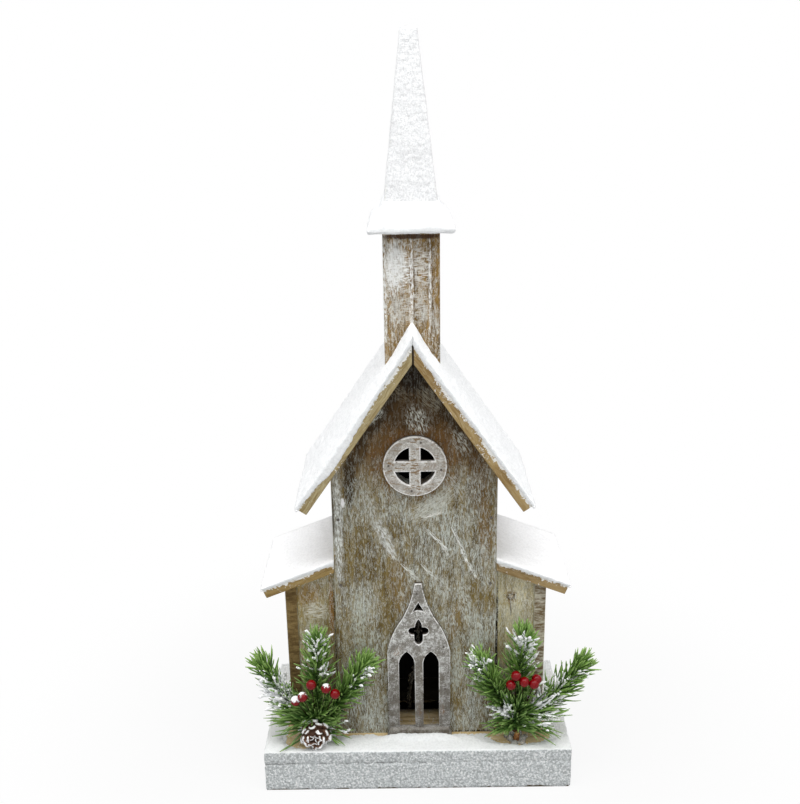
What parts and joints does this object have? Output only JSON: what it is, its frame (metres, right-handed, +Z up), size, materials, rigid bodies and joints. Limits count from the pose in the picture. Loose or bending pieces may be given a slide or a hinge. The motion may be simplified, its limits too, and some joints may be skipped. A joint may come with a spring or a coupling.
{
  "type": "wooden church village house",
  "caption": "Snowy wooden tabletop church with side aisles, tower and spire on a hollow base, pine picks by the door and a battery light string inside.",
  "frame": {"origin": "centre of the base's underside, on the surface that the church stands on", "axes": "+Z up along the spire, front with the door towards -Y, +X to the right seen from the front"},
  "size_m": [0.2813, 0.1365, 0.6],
  "materials": {
    "base_wood": "rough golden brown softwood, partly bare",
    "wall_wood": "stained softwood board with dry-brushed whitewash",
    "aisle_wood": "stained golden brown board with light whitewash",
    "roof_wood": "pale tan sawn board",
    "tower_wood": "stained board with crackled white paint",
    "trim_ply": "grey-mauve whitewashed plywood with white edges",
    "snow": "matt white flocked snow",
    "needles": "green needles dusted with snow",
    "berries": "glossy red",
    "cone": "dark brown scales with white tips",
    "stem_wrap": "brown floral tape",
    "glue": "clear amber hot glue",
    "nail_steel": "dull steel",
    "box_plastic": "fine-grained black moulding",
    "switch_plastic": "white moulding",
    "cell_wrap": "plain wrapped cell",
    "contact_steel": "nickel-plated steel",
    "wire_cover": "clear twisted wire",
    "bulb": "clear bulb"
  },
  "bodies": {
    "church": {"aisle_back_left": "aisle_wood", "aisle_back_right": "aisle_wood", "aisle_front_left": "aisle_wood", "aisle_front_right": "aisle_wood", "aisle_roof_left": "roof_wood", "aisle_roof_right": "roof_wood", "aisle_roof_snow_left": "snow", "aisle_roof_snow_right": "snow", "aisle_side_left": "aisle_wood", "aisle_side_right": "aisle_wood", "base_apron_left": "base_wood", "base_apron_right": "base_wood", "base_back_apron": "base_wood", "base_front_apron": "base_wood", "base_snow": "snow", "base_top_board": "base_wood", "batteries": "cell_wrap", "battery_box": "box_plastic", "battery_contacts": "contact_steel", "berries_left": "berries", "berries_right": "berries", "box_screws": "nail_steel", "cap_snow": "snow", "door_sill": "trim_ply", "door_tracery": "trim_ply", "glue_blob_left": "glue", "glue_blob_right": "glue", "led_bulbs": "bulb", "light_wire": "wire_cover", "main_roof_left": "roof_wood", "main_roof_right": "roof_wood", "main_roof_snow_left": "snow", "main_roof_snow_right": "snow", "nave_back_wall": "wall_wood", "nave_front_wall": "wall_wood", "nave_left_wall": "wall_wood", "nave_right_wall": "wall_wood", "pick_stem_left": "stem_wrap", "pick_stem_right": "stem_wrap", "pine_sprig_left_inner": "needles", "pine_sprig_left_middle": "needles", "pine_sprig_left_outer": "needles", "pine_sprig_right_inner": "needles", "pine_sprig_right_middle": "needles", "pine_sprig_right_outer": "needles", "pinecone": "cone", "spire_core": "roof_wood", "spire_dowel": "roof_wood", "spire_snow": "snow", "tower_back": "tower_wood", "tower_cap": "tower_wood", "tower_front": "tower_wood", "tower_side_left": "tower_wood", "tower_side_right": "tower_wood", "trim_brads": "nail_steel", "wall_nails": "nail_steel", "window_rosette": "trim_ply", "wire_staples": "nail_steel"},
    "cover": {"battery_cover": "box_plastic"},
    "switch": {"switch_slider": "switch_plastic"}
  },
  "joints": [
    {"name": "cover_slide", "type": "slide", "parent": "church", "child": "cover", "axis": [1, 0, 0], "range_m": [0, 0.058]},
    {"name": "switch_slide", "type": "slide", "parent": "church", "child": "switch", "axis": [0, 1, 0], "range_m": [0, 0.003]}
  ]
}
